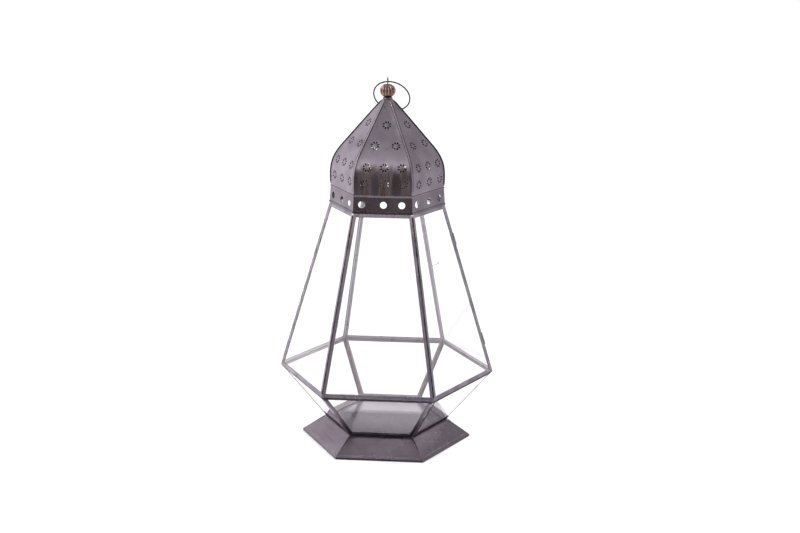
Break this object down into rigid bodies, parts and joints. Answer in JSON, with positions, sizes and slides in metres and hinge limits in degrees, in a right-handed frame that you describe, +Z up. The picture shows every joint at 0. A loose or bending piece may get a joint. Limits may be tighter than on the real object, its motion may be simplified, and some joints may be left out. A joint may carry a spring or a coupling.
{
  "type": "hexagonal glass lantern",
  "caption": "Six-sided glass lantern in dark metal channels with a pierced onion dome, fluted bead, hanging ring and a hinged glass door.",
  "frame": {"origin": "centre of the foot's underside, on the surface it stands on", "axes": "+Z up along the lantern's axis; the front face looks towards -Y; +X is to the right seen from the front"},
  "size_m": [0.3024, 0.262, 0.513],
  "materials": {
    "antiqued_sheet": "dark antiqued and lacquered, satin",
    "clear_glass": "clear float glass, polished",
    "copper_bead": "copper plated, rubbed, satin",
    "dark_wire": "blackened wire, satin"
  },
  "bodies": {
    "lantern": {"collar_band": "antiqued_sheet", "collar_beading": "antiqued_sheet", "collar_rim": "antiqued_sheet", "dome_gore_back": "antiqued_sheet", "dome_gore_back_left": "antiqued_sheet", "dome_gore_back_right": "antiqued_sheet", "dome_gore_front": "antiqued_sheet", "dome_gore_front_left": "antiqued_sheet", "dome_gore_front_right": "antiqued_sheet", "dome_seam_back_left": "antiqued_sheet", "dome_seam_back_right": "antiqued_sheet", "dome_seam_front_left": "antiqued_sheet", "dome_seam_front_right": "antiqued_sheet", "dome_seam_left": "antiqued_sheet", "dome_seam_right": "antiqued_sheet", "eye_pin": "dark_wire", "finial_bead": "copper_bead", "finial_washer": "antiqued_sheet", "floor_plate": "antiqued_sheet", "foot_hem": "antiqued_sheet", "latch_tube": "antiqued_sheet", "lower_channel_back": "antiqued_sheet", "lower_channel_back_left": "antiqued_sheet", "lower_channel_back_right": "antiqued_sheet", "lower_channel_front": "antiqued_sheet", "lower_channel_front_left": "antiqued_sheet", "lower_channel_front_right": "antiqued_sheet", "lower_glass_back": "clear_glass", "lower_glass_back_left": "clear_glass", "lower_glass_back_right": "clear_glass", "lower_glass_front": "clear_glass", "lower_glass_front_left": "clear_glass", "lower_glass_front_right": "clear_glass", "lower_hinge_fixed_knuckle": "antiqued_sheet", "lower_hinge_pin": "dark_wire", "skirt_back": "antiqued_sheet", "skirt_back_left": "antiqued_sheet", "skirt_back_right": "antiqued_sheet", "skirt_front": "antiqued_sheet", "skirt_front_left": "antiqued_sheet", "skirt_front_right": "antiqued_sheet", "upper_channel_back": "antiqued_sheet", "upper_channel_back_left": "antiqued_sheet", "upper_channel_front": "antiqued_sheet", "upper_channel_front_left": "antiqued_sheet", "upper_channel_front_right": "antiqued_sheet", "upper_glass_back": "clear_glass", "upper_glass_back_left": "clear_glass", "upper_glass_front": "clear_glass", "upper_glass_front_left": "clear_glass", "upper_glass_front_right": "clear_glass", "upper_hinge_fixed_knuckle": "antiqued_sheet", "upper_hinge_pin": "dark_wire"},
    "door": {"door_channel": "antiqued_sheet", "door_glass": "clear_glass", "lower_hinge_door_knuckle": "antiqued_sheet", "upper_hinge_door_knuckle": "antiqued_sheet"},
    "latch": {"latch_wire": "dark_wire"},
    "ring": {"hanging_ring": "dark_wire"}
  },
  "joints": [
    {"name": "door_hinge", "type": "hinge", "parent": "lantern", "child": "door", "pos_m": [0.1513, 0, 0.0995], "axis": [0.287, 0, -0.9579], "range_deg": [0, 105]},
    {"name": "latch_turn", "type": "hinge", "parent": "lantern", "child": "latch", "pos_m": [0.05836, 0.10108, 0.22015], "axis": [-0.1435, -0.2485, 0.9579], "range_deg": [-90, 90]},
    {"name": "ring_swing", "type": "hinge", "parent": "lantern", "child": "ring", "pos_m": [0, 0, 0.5062], "axis": [1, 0, 0], "range_deg": [0, 290]}
  ]
}
